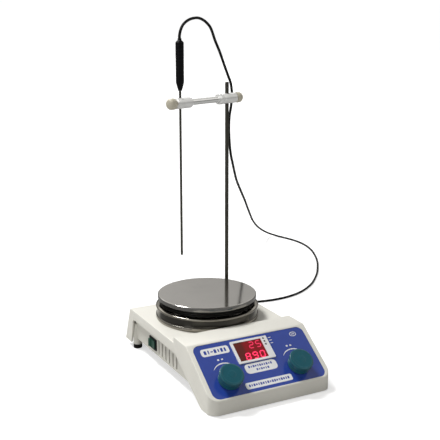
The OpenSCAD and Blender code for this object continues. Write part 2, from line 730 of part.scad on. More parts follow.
module probe_handle() color("black") translate([probe_x, probe_y, 0]) difference() {
    rotate_extrude() polygon(rounded([[0, handle_z, 0], [2.3, handle_z, 0.5], [3.6, handle_z + 4.5, 3],
        [5.2, handle_z + 10.5, 6], [5.2, handle_top - 2, 2], [3.4, handle_top, 1], [2.6, handle_top + 0.4, 0.5],
        [2.3, relief_top, 0], [0, relief_top, 0]]));
    translate([0, 0, handle_z - 1]) cylinder(d = probe_d, h = 13);
}

module cable_arch() color("black") tube(cable_path, cable_r, 2, arch_end);
module cable_drop() color("black") tube(cable_path, cable_r, arch_end, drop_end);
module cable_run() color("black") tube(cable_path, cable_r, drop_end, len(cable_path) - 2);

// Leads from the inlet, switch and motor, tied along the floor of the tray
module wiring_loom() color("firebrick") {
    tube(smooth([[-42, 92, 30], [-46, 84, 26], [-50, 70, 22], [-51, 58, 22], [-50.4, 49, 24]], 2), 1.2);
    tube(smooth([[-50, 40, 24], [-44, 28, 22], [-38, 16, 21], [-30, 8, 21], [-26, 6.5, 22]], 2), 1.2);
    tube(smooth([[20, 14, 22], [26, 6, 21], [32, -1, 21], [38, -6.2, 22]], 2), 1.2);
}

upper_cover();
lower_chassis();
rear_panel();
control_panel();
display_bezel();
display_window();
digit_modules();
indicator_lamps();
display_board();
potentiometers();
potentiometer_nuts();
speed_shaft();
speed_knob();
temperature_shaft();
temperature_knob();
switch_frame();
switch_rocker();
hot_plate();
heating_element();
insulation_disc();
plate_collar();
bowl();
plate_pillars();
plate_sensor();
stirring_motor();
motor_bracket();
bracket_screws();
motor_shaft();
magnet_carrier();
drive_magnets();
control_board();
board_pillars();
transformer();
heat_sink();
triac();
mains_inlet();
inlet_pins();
fuse_holder();
fuse_link();
fuse_cap();
probe_socket();
rubber_feet();
case_screws();
support_rod();
rod_nut();
rod_boss();
cross_rod();
probe_boss();
rod_thumbscrew();
probe_thumbscrew();
probe_sheath();
probe_handle();
cable_arch();
cable_drop();
cable_run();
plug_body();
plug_ring();
wiring_loom();
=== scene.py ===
"""Looks of a hotplate magnetic stirrer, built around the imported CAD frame."""
import json
import math

import bmesh
import bpy
import numpy as np
from mathutils import Matrix, Vector


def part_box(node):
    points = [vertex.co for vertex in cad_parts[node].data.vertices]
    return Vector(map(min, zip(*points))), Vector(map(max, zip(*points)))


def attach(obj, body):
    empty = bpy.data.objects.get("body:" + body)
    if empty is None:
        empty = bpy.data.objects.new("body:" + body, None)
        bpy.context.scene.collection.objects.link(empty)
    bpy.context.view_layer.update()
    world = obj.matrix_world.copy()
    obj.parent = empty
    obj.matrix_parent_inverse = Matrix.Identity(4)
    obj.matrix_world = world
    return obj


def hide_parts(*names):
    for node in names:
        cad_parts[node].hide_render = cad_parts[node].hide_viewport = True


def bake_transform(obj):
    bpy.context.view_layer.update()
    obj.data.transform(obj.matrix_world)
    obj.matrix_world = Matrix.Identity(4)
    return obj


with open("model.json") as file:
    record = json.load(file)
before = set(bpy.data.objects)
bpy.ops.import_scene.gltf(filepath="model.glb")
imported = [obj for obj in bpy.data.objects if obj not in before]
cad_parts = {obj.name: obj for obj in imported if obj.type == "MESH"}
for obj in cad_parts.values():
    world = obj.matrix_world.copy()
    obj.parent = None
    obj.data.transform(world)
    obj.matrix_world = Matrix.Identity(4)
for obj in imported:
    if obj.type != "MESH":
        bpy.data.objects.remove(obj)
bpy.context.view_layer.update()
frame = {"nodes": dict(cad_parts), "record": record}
MM = 0.001

# ---------------------------------------------------------------- camera

CAMERA_AT = (-0.4715, -0.8936, 0.4340)
CAMERA_YAW, CAMERA_PITCH = math.radians(27.76), math.radians(-13.35)
LENS, SENSOR_WIDTH = 67.86, 36


def make_camera():
    """Looks along +Y, turned right by the yaw and down by the pitch."""
    data = bpy.data.cameras.new("camera")
    data.sensor_width = SENSOR_WIDTH
    data.lens = LENS
    data.clip_start, data.clip_end = 0.05, 60
    camera = bpy.data.objects.new("camera", data)
    bpy.context.scene.collection.objects.link(camera)
    camera.location = CAMERA_AT
    level = math.cos(CAMERA_PITCH)
    forward = Vector((math.sin(CAMERA_YAW) * level, math.cos(CAMERA_YAW) * level, math.sin(CAMERA_PITCH)))
    camera.rotation_mode = "QUATERNION"
    camera.rotation_quaternion = forward.to_track_quat("-Z", "Y")
    bpy.context.scene.camera = camera


make_camera()

# ---------------------------------------------------------------- mesh helpers


def link(obj):
    bpy.context.scene.collection.objects.link(obj)
    return obj


def finish_mesh(mesh, sharp=35):
    """Shades a mesh smooth, apart from its edges over that angle."""
    mesh.shade_smooth()
    mesh.set_sharp_from_angle(angle=math.radians(sharp))
    return mesh


def from_bmesh(name, bm, sharp=35):
    bmesh.ops.recalc_face_normals(bm, faces=bm.faces)
    mesh = bpy.data.meshes.new(name)
    bm.to_mesh(mesh)
    bm.free()
    return link(bpy.data.objects.new(name, finish_mesh(mesh, sharp)))


def corner(p, a, b, r, steps):
    """Arc of radius r that rounds the corner at p between its neighbours a and b."""
    p, a, b = (np.array(v[:2], float) for v in (p, a, b))
    u = (a - p) / np.linalg.norm(a - p)
    v = (b - p) / np.linalg.norm(b - p)
    half = math.acos(max(-1.0, min(1.0, float(u @ v)))) / 2
    centre = p + (u + v) / np.linalg.norm(u + v) * r / math.sin(half)
    start = p + u * r / math.tan(half) - centre
    end = p + v * r / math.tan(half) - centre
    turn = math.copysign(math.pi - 2 * half, start[0] * end[1] - start[1] * end[0])
    points = []
    for i in range(steps + 1):
        c, s = math.cos(turn * i / steps), math.sin(turn * i / steps)
        points.append((centre[0] + start[0] * c - start[1] * s, centre[1] + start[0] * s + start[1] * c))
    return points


def rounded(path, steps=5, closed=True):
    """Outline from (x, y) or (x, y, radius) points, with its corners rounded."""
    out = []
    n = len(path)
    for i, p in enumerate(path):
        inner = closed or 0 < i < n - 1
        if inner and len(p) > 2 and p[2] > 0:
            out += corner(p, path[i - 1], path[(i + 1) % n], p[2], steps)
        else:
            out.append((float(p[0]), float(p[1])))
    return out


def round_rect(w, h, r, steps=6):
    """A rectangle about the origin, its corners rounded with radius r."""
    return rounded([(-w / 2, -h / 2, r), (w / 2, -h / 2, r), (w / 2, h / 2, r), (-w / 2, h / 2, r)], steps)


def place(obj, origin=(0, 0, 0), z_axis=(0, 0, 1), x_axis=(1, 0, 0)):
    """Puts an object's own frame at a point, in mm, with its Z and X along these directions."""
    z = Vector(z_axis).normalized()
    x = (Vector(x_axis) - z * z.dot(Vector(x_axis))).normalized()
    matrix = Matrix((x, z.cross(x), z)).transposed().to_4x4()
    matrix.translation = Vector(origin) * MM
    obj.matrix_world = matrix
    return obj


def lathe(name, profile, segments=96, steps=5, closed=False):
    """Turns a profile of (radius, height, fillet), in mm, about Z."""
    outline = rounded(profile, steps, closed)
    bm = bmesh.new()
    rings = []
    for r, z in outline:
        if r < 1e-6:
            rings.append([bm.verts.new((0, 0, z * MM))])
        else:
            angles = [2 * math.pi * k / segments for k in range(segments)]
            ring = [(r * MM * math.cos(a), r * MM * math.sin(a), z * MM) for a in angles]
            rings.append([bm.verts.new(p) for p in ring])
    pairs = list(zip(rings, rings[1:])) + ([(rings[-1], rings[0])] if closed else [])
    for low, high in pairs:
        for k in range(segments):
            m = (k + 1) % segments
            quad = [low[k % len(low)], low[m % len(low)], high[m % len(high)], high[k % len(high)]]
            face = list(dict.fromkeys(quad))
            if len(face) > 2:
                bm.faces.new(face)
    return from_bmesh(name, bm)


def prism(name, outline, low, high, bevel=0.0):
    """Extrudes an outline, in mm, along Z, and rounds its two rims."""
    bm = bmesh.new()
    bottom = [bm.verts.new((x * MM, y * MM, low * MM)) for x, y in outline]
    top = [bm.verts.new((x * MM, y * MM, high * MM)) for x, y in outline]
    n = len(outline)
    bm.faces.new(top)
    bm.faces.new(bottom[::-1])
    for i in range(n):
        bm.faces.new([bottom[i], bottom[(i + 1) % n], top[(i + 1) % n], top[i]])
    obj = from_bmesh(name, bm)
    if bevel:
        soften(obj, bevel)
    return obj


def soften(obj, width, angle=32):
    """Rounds an object's edges that are sharper than the angle."""
    bevel = obj.modifiers.new("rounded edges", "BEVEL")
    bevel.width = width * MM
    bevel.segments = 2
    bevel.limit_method = "ANGLE"
    bevel.angle_limit = math.radians(angle)
    bevel.harden_normals = True
    bevel.use_clamp_overlap = True
    return obj


def apply_modifiers(obj):
    graph = bpy.context.evaluated_depsgraph_get()
    mesh = bpy.data.meshes.new_from_object(obj.evaluated_get(graph))
    obj.modifiers.clear()
    obj.data = mesh
    return obj


def cut(obj, *cutters):
    """Takes the cutters away from an object, and removes them."""
    for c in cutters:
        boolean = obj.modifiers.new("cut", "BOOLEAN")
        boolean.operation = "DIFFERENCE"
        boolean.solver = "EXACT"
        boolean.object = c
    bpy.context.view_layer.update()
    apply_modifiers(obj)
    for c in cutters:
        bpy.data.objects.remove(c)
    finish_mesh(obj.data)
    return obj


def refined(node, bevel):
    """Copy of a CAD node with its flat faces whole again and its edges rounded."""
    bm = bmesh.new()
    bm.from_mesh(frame["nodes"][node].data)
    bmesh.ops.remove_doubles(bm, verts=bm.verts, dist=1e-6)
    bmesh.ops.dissolve_limit(bm, angle_limit=math.radians(0.8), verts=bm.verts, edges=bm.edges)
    return soften(from_bmesh(node + "_shape", bm), bevel)


def joined(name, parts):
    """One object from several, in the shared frame."""
    bm = bmesh.new()
    graph = bpy.context.evaluated_depsgraph_get()
    for part in parts:
        mesh = bpy.data.meshes.new_from_object(part.evaluated_get(graph))
        mesh.transform(part.matrix_world)
        bm.from_mesh(mesh)
        bpy.data.meshes.remove(mesh)
    mesh = bpy.data.meshes.new(name)
    bm.to_mesh(mesh)
    bm.free()
    for part in parts:
        bpy.data.objects.remove(part)
    return link(bpy.data.objects.new(name, finish_mesh(mesh)))


def dress(obj, material, body, slot, *nodes):
    """Gives a finished piece its material and its body, and hides the CAD nodes that it stands for."""
    obj.data.materials.clear()
    obj.data.materials.append(material)
    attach(obj, body)
    if nodes:
        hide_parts(*nodes)
    return obj


# ---------------------------------------------------------------- materials


class Nodes:
    """Short calls for building the node tree of a material or of the world."""

    def __init__(self, owner, coords="Object"):
        owner.use_nodes = True
        self.tree = owner.node_tree
        self.coords = self.new("ShaderNodeTexCoord").outputs[coords]

    def feed(self, target, value):
        """Joins another node's output to an input, or sets the input to a number or a colour."""
        if isinstance(value, bpy.types.NodeSocket):
            self.tree.links.new(value, target)
        else:
            target.default_value = value

    def new(self, kind, *inputs, **values):
        """A node. Its first inputs are given in order, its other inputs and its settings by name."""
        node = self.tree.nodes.new(kind)
        for key, value in values.items():
            if key in node.inputs:
                self.feed(node.inputs[key], value)
            else:
                setattr(node, key, value)
        for target, value in zip(node.inputs, inputs):
            self.feed(target, value)
        return node

    def noise(self, scale, detail, vector=None, roughness=0.55):
        settings = {"Scale": scale, "Detail": detail, "Roughness": roughness}
        return self.new("ShaderNodeTexNoise", vector or self.coords, **settings).outputs[0]

    def stretched(self, scale):
        """The piece's own coordinates, scaled along each axis."""
        return self.new("ShaderNodeMapping", self.coords, Scale=scale).outputs[0]

    def ramp(self, source, stops):
        node = self.new("ShaderNodeValToRGB", source)
        elements = node.color_ramp.elements
        while len(elements) < len(stops):
            elements.new(0.5)
        for element, (position, colour) in zip(elements, stops):
            element.position = position
            element.color = (*colour, 1)
        return node.outputs[0]

    def between(self, source, dark, light):
        """A colour between two, by a texture."""
        return self.ramp(source, [(0.3, dark), (0.7, light)])

    def span(self, source, low, high, from_low=0.3, from_high=0.7):
        """A value between low and high, by one between from_low and from_high."""
        limits = {"From Min": from_low, "From Max": from_high, "To Min": low, "To Max": high}
        return self.new("ShaderNodeMapRange", source, **limits).outputs[0]

    def split(self, vector):
        return self.new("ShaderNodeSeparateXYZ", vector).outputs

    def math(self, operation, *values):
        return self.new("ShaderNodeMath", *values, operation=operation).outputs[0]

    def light_path(self, kind):
        return self.new("ShaderNodeLightPath").outputs[kind]


class Surface(Nodes):
    """The node tree of one material."""

    def __init__(self, name):
        self.material = bpy.data.materials.new(name)
        super().__init__(self.material)
        self.shader = self.tree.nodes["Principled BSDF"]

    def look(self, name, value):
        """Sets or joins one input of the material's shader."""
        self.feed(self.shader.inputs[name], value)

    def relief(self, height, strength, distance_mm):
        """Bumps the surface by a texture."""
        bump = self.new("ShaderNodeBump", Strength=strength, Distance=distance_mm * MM, Height=height)
        self.look("Normal", bump.outputs[0])


def tint(colour, factor):
    return tuple(max(0.0, min(1.0, c * factor)) for c in colour)


def base_material(name, colour, rough, vary, scale, metallic=0.0, coat=0.0, coat_rough=0.1):
    """A surface whose colour and gloss drift gently over it."""
    n = Surface(name)
    drift = n.noise(scale, 5.0)
    n.look("Base Color", n.between(drift, tint(colour, 1 - vary), tint(colour, 1 + vary)))
    fine = n.noise(scale * 9, 3.0)
    n.look("Roughness", n.span(fine, rough * 0.9, rough * 1.1))
    n.look("Metallic", metallic)
    n.look("Coat Weight", coat)
    n.look("Coat Roughness", coat_rough)
    return n


def powder_coat(name, colour, rough=0.42):
    """Stoved paint with a faint orange peel."""
    n = base_material(name, colour, rough, vary=0.02, scale=14, coat=0.12, coat_rough=0.25)
    n.relief(n.noise(1500, 2.0), strength=0.22, distance_mm=0.012)
    return n.material


def moulded(name, colour, rough, grain=2600, depth=0.01, coat=0.0, vary=0.06, shine=0.5):
    """Moulded plastic with a fine grain."""
    n = base_material(name, colour, rough, vary=vary, scale=60, coat=coat)
    n.look("Specular IOR Level", shine)
    n.relief(n.noise(grain, 2.0), strength=0.35, distance_mm=depth)
    return n.material


def turned_steel(name, colour, rough, painted_reflection=()):
    """Steel spun about the piece's own Z, with faint circular marks. Painted reflection: (height in mm,
    factor) pairs that darken the colour by height.
    """
    n = base_material(name, colour, rough, metallic=1.0, vary=0.04, scale=22)
    x, y, z = n.split(n.coords)
    # Painted reflection: the colour is darkened band by band with height, for the dark and light bands that
    # the steel mirrors
    if painted_reflection:
        low, high = painted_reflection[0][0], painted_reflection[-1][0]
        height = n.span(z, 0.0, 1.0, low * MM, high * MM)
        reflection_shade = n.ramp(height, [((at - low) / (high - low), (t, t, t)) for at, t in painted_reflection])
        even = n.shader.inputs["Base Color"].links[0].from_socket
        n.look("Base Color", n.new("ShaderNodeVectorMath", even, reflection_shade, operation="MULTIPLY").outputs[0])
    radius = n.math("SQRT", n.math("ADD", n.math("POWER", x, 2.0), n.math("POWER", y, 2.0)))
    rings = n.new("ShaderNodeCombineXYZ", radius, z).outputs[0]
    marks = n.noise(2080, 6.0, rings, 0.7)
    n.relief(marks, strength=0.12, distance_mm=0.004)
    n.look("Roughness", n.span(marks, rough * 0.75, rough * 1.3))
    return n.material


def drawn_steel(name, colour, rough):
    """Bar drawn along its own Z: long fine scratches and darker stains."""
    n = base_material(name, colour, rough, metallic=1.0, vary=0.16, scale=45)
    marks = n.noise(900, 6.0, n.stretched((1, 1, 0.012)), 0.7)
    n.relief(marks, strength=0.2, distance_mm=0.01)
    return n.material


def plain_metal(name, colour, rough, strength=0.15, vary=0.05, metallic=1.0):
    """Cast or plated metal with fine uneven marks."""
    n = base_material(name, colour, rough, metallic=metallic, vary=vary, scale=40)
    n.relief(n.noise(1300, 4.0), strength, distance_mm=0.008)
    return n.material


def glossy_film(name, colour):
    """Printed film under a clear gloss, with the faint mottle of its ink."""
    n = base_material(name, colour, 0.16, vary=0.05, scale=120, coat=1.0, coat_rough=0.04)
    n.relief(n.noise(70, 2.0), strength=0.05, distance_mm=0.05)
    return n.material


# The window's painted glow begins here and is full there, in mm from its middle
PAINTED_GLOW_FROM, PAINTED_GLOW_FULL = -9.5, -5.0


def window_tint(name):
    """Dark red window with a painted glow over the lit digits; it stays brown on its blank side."""
    n = Surface(name)
    painted_glow = n.span(n.split(n.coords)[0], 0.0, 1.0, PAINTED_GLOW_FROM * MM, PAINTED_GLOW_FULL * MM)
    speck = n.noise(700, 3.0)
    lit = n.math("MULTIPLY", painted_glow, n.span(speck, 0.75, 1.0))
    # Painted glow: over the digits the window's colour turns redder and it emits red light
    n.look("Base Color", n.ramp(lit, [(0.0, (0.120, 0.022, 0.018)), (1.0, (0.15, 0.010, 0.014))]))
    n.look("Emission Color", n.ramp(lit, [(0.0, (0.0, 0.0, 0.0)), (1.0, (0.50, 0.006, 0.010))]))
    n.look("Emission Strength", 0.2)
    n.look("Specular IOR Level", 0.25)
    n.look("Roughness", n.span(speck, 0.12, 0.2))
    n.relief(speck, strength=0.05, distance_mm=0.01)
    return n.material


def glowing(name, colour, strength):
    """The light of a lit digit, slightly uneven."""
    n = Surface(name)
    flicker = n.noise(500, 2.0)
    n.look("Emission Color", n.between(flicker, tint(colour, 0.85), colour))
    n.look("Emission Strength", strength)
    n.look("Base Color", n.between(flicker, tint(colour, 0.4), tint(colour, 0.5)))
    n.look("Roughness", 0.3)
    return n.material


def board(name):
    """Circuit board: green resist over faintly raised tracks."""
    n = base_material(name, (0.03, 0.16, 0.07), 0.35, vary=0.1, scale=50, coat=0.3)
    tracks = n.new("ShaderNodeTexBrick", n.coords, Scale=160.0)
    n.relief(tracks.outputs[1], strength=0.3, distance_mm=0.03)
    return n.material


# Heights of the deck, bowl, collar and plate, and the painted reflection of the bowl's and plate's steel:
# factors that darken its colour by height
DECK_Z = 56.5
BOWL_TOP, COLLAR_TOP, PLATE_TOP = DECK_Z + 18, DECK_Z + 25.8, DECK_Z + 31.5
BOWL_PAINTED_REFLECTION = [(DECK_Z, 0.8), (DECK_Z + 4.6, 0.8), (DECK_Z + 5.2, 0.2), (BOWL_TOP - 4.2, 0.2),
              (BOWL_TOP - 3.6, 0.6), (BOWL_TOP, 0.8)]
PLATE_PAINTED_REFLECTION = [(COLLAR_TOP, 0.3), (PLATE_TOP - 0.5, 0.3), (PLATE_TOP - 0.1, 0.72), (PLATE_TOP + 0.5, 0.72)]

MATERIALS = {
    "cover_paint": powder_coat("cover paint", (0.78, 0.765, 0.70)),
    "tray_paint": powder_coat("tray paint", (0.70, 0.685, 0.62), 0.5),
    "panel_film": glossy_film("panel film", (0.021, 0.055, 0.33)),
    "white_plastic": moulded("white plastic", (0.80, 0.80, 0.80), 0.35, vary=0.02),
    "red_window": window_tint("red window"),
    "teal_plastic": moulded("teal plastic", (0.004, 0.080, 0.108), 0.36, coat=0.1, shine=0.35),
    "switch_green": moulded("switch green", (0.004, 0.060, 0.036), 0.3),
    "black_plastic": moulded("black plastic", (0.004, 0.004, 0.005), 0.36, shine=0.12),
    "cream_plastic": moulded("cream plastic", (0.62, 0.58, 0.47), 0.45, vary=0.05),
    "lamp_plastic": moulded("lamp plastic", (0.015, 0.015, 0.02), 0.15),
    "board_laminate": board("board laminate"),
    "polished_steel": turned_steel("polished steel", (0.72, 0.70, 0.67), 0.10),
    # Plate steel carries a painted reflection: its side is darker than its top
    "plate_steel_painted_reflection": turned_steel("plate steel", (0.72, 0.70, 0.67), 0.10, PLATE_PAINTED_REFLECTION),
    # The bowl's steel is painted darker throughout, and darker still on its wall: painted reflection of the
    # dark room
    "bowl_steel_painted_reflection": turned_steel("bowl steel", (0.34, 0.32, 0.28), 0.13, BOWL_PAINTED_REFLECTION),
    "rod_steel": drawn_steel("rod steel", (0.085, 0.082, 0.070), 0.34),
    "bright_metal": plain_metal("bright metal", (0.66, 0.66, 0.65), 0.3),
    "chrome_plate": plain_metal("chrome plate", (0.88, 0.88, 0.87), 0.07, 0.04, 0.02),
    "dark_metal": plain_metal("dark metal", (0.035, 0.035, 0.033), 0.45, vary=0.12),
    "cast_alloy": plain_metal("cast alloy", (0.97, 0.97, 0.95), 0.2, metallic=0.35),
    "insulation": moulded("insulation", (0.66, 0.60, 0.50), 0.8, 900, 0.05),
    "winding": moulded("winding", (0.42, 0.27, 0.05), 0.4, 800, 0.03),
    "rubber": moulded("rubber", (0.006, 0.006, 0.006), 0.55, shine=0.15),
    "glass_fuse": moulded("glass fuse", (0.5, 0.5, 0.5), 0.1),
}
SLOTS = {s["node"]: s["material_slot"] for s in frame["record"]["subparts"]}


def dress_cad_nodes():
    """Gives every CAD node its own slot's material."""
    for name, obj in frame["nodes"].items():
        obj.data.materials.clear()
        obj.data.materials.append(MATERIALS[SLOTS[name]])


def part(node, body, bevel, look=None):
    """The CAD node with whole faces and rounded edges, in its own slot's material or in look's."""
    slot_name = SLOTS[node]
    return dress(refined(node, bevel), MATERIALS[look or slot_name], body, slot_name, node)


def detail(obj, slot_name, body="base", *nodes, look=None):
    """A piece modelled here, in its slot's material or in look's."""
    return dress(obj, MATERIALS[look or slot_name], body, slot_name, *nodes)


# ---------------------------------------------------------------- cable

CABLE_R = 1.8
# The route of each stretch, as in the CAD: handle to clamp, past the clamp, and on to the plug
ARCH = [(-27.5, 57.3, 413), (-27.5, 57.3, 416), (-27.5, 57.3, 419), (-25.6, 58.2, 425.5),
        (-20.5, 61, 432.5), (-12, 65, 437.6), (-3, 69, 440), (6, 73.5, 440.5), (15, 78.5, 438.5),
        (24, 83.5, 434), (32, 88, 427), (41, 94, 412), (50, 98, 397),
        (58, 102, 382), (65.5, 105.5, 368), (72, 108, 355), (75, 110, 343)]
DROP = [(75.5, 111, 334), (74.5, 111.5, 322), (73, 113, 309), (74, 116, 294), (79, 124, 275)]
RUN = [(88, 137, 254), (104, 158, 230), (127, 190, 203), (158, 232, 176), (195, 284, 147),
       (237, 346, 115), (289, 421, 75), (336, 485, 44), (371, 524, 23), (395, 541, 10),
       (410, 538, 3.8), (418, 524, 1.9), (424, 503, 1.9), (428, 477, 1.9), (426, 446, 1.9),
       (417, 411, 1.9), (400, 372, 1.9), (381, 337, 1.9), (362, 308, 1.9), (342, 280, 1.9),
       (320, 254, 1.9), (299, 232, 1.9), (278, 215, 1.9), (258, 202, 1.9), (237, 193, 1.9),
       (215, 188, 1.9), (190, 187, 1.9), (165, 191, 1.9), (138, 196, 1.9), (112, 200, 2.4),
       (88, 203, 7), (66, 201, 17), (48, 193, 30), (37, 181, 41), (31.5, 170, 45.5)]
# The slanted rear wall runs from the deck down to the rear legs
REAR_TOP_Y, REAR_Y, LEG_Z = 111.5, 130.0, 8.0
REAR_ANGLE = math.atan2(REAR_Y - REAR_TOP_Y, DECK_Z - LEG_Z)
REAR_OUT = Vector((0, math.cos(REAR_ANGLE), math.sin(REAR_ANGLE)))
REAR_DOWN = REAR_OUT.cross(Vector((1, 0, 0)))
REAR_MID = Vector((0, (REAR_TOP_Y + REAR_Y) / 2, (DECK_Z + LEG_Z) / 2))
SOCKET_X, PLUG_LENGTH = 30, 39.6
FALL = Vector((0, 0, -215))


def spline(p0, p1, p2, p3, t):
    """A point between p1 and p2 on the smooth curve through four points."""
    curve = 2 * p1 + (p2 - p0) * t + (2 * p0 - 5 * p1 + 4 * p2 - p3) * t * t
    return (curve + (3 * p1 - p0 - 3 * p2 + p3) * t ** 3) / 2


def smooth(points, steps):
    """The smooth curve through the points, with so many steps between two of them."""
    points = [Vector(p) for p in points]
    last = len(points) - 1
    out = []
    for i in range(last):
        four = (points[max(i - 1, 0)], points[i], points[i + 1], points[min(i + 2, last)])
        out += [spline(*four, j / steps) for j in range(steps)]
    return out + [points[-1]]


def tube(name, path, first, last, radius):
    """Sweeps a round tube along path[first:last + 1]; its rings face along the whole path."""
    sides = 12
    bm = bmesh.new()
    side = Vector((0.8, 0.6, 0))
    rings = []
    for i, point in enumerate(path):
        heading = (path[min(i + 1, len(path) - 1)] - path[max(i - 1, 0)]).normalized()
        side = (side - heading * side.dot(heading)).normalized()
        if first <= i <= last:
            across = heading.cross(side)
            angles = [2 * math.pi * k / sides for k in range(sides)]
            ring = [point + radius * (side * math.cos(a) + across * math.sin(a)) for a in angles]
            rings.append([bm.verts.new(p * MM) for p in ring])
    for low, high in zip(rings, rings[1:]):
        for k in range(sides):
            m = (k + 1) % sides
            bm.faces.new([low[k], low[m], high[m], high[k]])
    bm.faces.new(rings[0][::-1])
    bm.faces.new(rings[-1])
    return from_bmesh(name, bm, 50)


def make_cable():
    mouth = REAR_MID + Vector((SOCKET_X, 0, 0)) + REAR_OUT * PLUG_LENGTH
    steps = 6
    # The first and last points only steer the curve: the cable runs from ARCH[1] to the plug's mouth
    route = ARCH + DROP + RUN + [mouth + 2 * REAR_OUT, mouth, mouth - 2 * REAR_OUT]
    path = smooth(route, steps)
    lowest = CABLE_R + 0.02  # the tube just clears the floor
    path = [Vector((p.x, p.y, max(p.z, lowest))) for p in path]
    arch_end = steps * (len(ARCH) - 1)
    drop_end = arch_end + steps * len(DROP)
    stretches = [
        ("probe_cable_arch", "cable_arch", steps, arch_end, ("probe", "clamp"), None),
        ("probe_cable_drop", "cable_drop", arch_end, drop_end, ("clamp", "stand"), None),
        ("probe_cable_run", "cable_run", drop_end, len(path) - 1 - steps, ("stand", "base"), FALL),
    ]
    for name, node, first, last, bodies, toward in stretches:
        obj = tube(name, path, first, last, CABLE_R)
        obj.data.materials.append(MATERIALS["rubber"])
        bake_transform(obj)
        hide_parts(node)


make_cable()

# ---------------------------------------------------------------- casing

CASE_LEFT, CASE_RIGHT = (corner_of_box.x / MM for corner_of_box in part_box("upper_cover"))
CASE_MID, HALF_W = (CASE_LEFT + CASE_RIGHT) / 2, (CASE_RIGHT - CASE_LEFT) / 2
# The cover's profile: front lip, brow above the panel, and step down to the deck
FRONT_Y, LIP_Z = -130.0, 18.8
BROW_Y, TOP_Z = -64.5, 64.0
STEP_Y = -30.0
# Its lower edge, at the front and over the chassis; its corner and edge radii, and its wall
CHIN_Z, BAND_Z = 1.0, 43.5
FRONT_R, EDGE_R, COVER_WALL = 12.0, 1.1, 2.2
# The lower edge of the side wall, from the rear leg over the chassis to the front
SIDE_EDGE = [(109.5, LEG_Z, 0.8), (101, BAND_Z, 2.5), (-33.3, BAND_Z, 6), (-104, CHIN_Z, 1.5)]
SLOPE = math.atan2(TOP_Z - LIP_Z, BROW_Y - FRONT_Y)
PANEL_OUT = Vector((0, -math.sin(SLOPE), math.cos(SLOPE)))
PANEL_UP = Vector((0, math.cos(SLOPE), math.sin(SLOPE)))
BROW = Vector((0, BROW_Y, TOP_Z))
# The printed panel: its width, where it starts and ends down the slope, its corners and its recess
PANEL_W, PANEL_FROM, PANEL_TO, PANEL_R, PANEL_SINK = 153.0, 3.0, 77.5, 8.7, 1.35
# The recess for the rear panel: its width, height and corner radius, and its depth
REAR_HOLE, REAR_SINK = (130.4, 38.4, 3), 1.2
HOLE_MARGIN = 0.3


def on_panel(obj, x=0.0, s=0.0, h=0.0):
    """Puts an object in the panel's plane, s mm down the slope from the brow: +Y up the slope, +Z out."""
    return place(obj, BROW + Vector((x, 0, 0)) - PANEL_UP * s + PANEL_OUT * h, PANEL_OUT)


def on_rear(obj, x=0.0, h=0.0, down=0.0):
    """Puts an object on the rear wall: +Y down the wall, +Z out."""
    return place(obj, REAR_MID + Vector((x, 0, 0)) + REAR_OUT * h + REAR_DOWN * down, REAR_OUT)


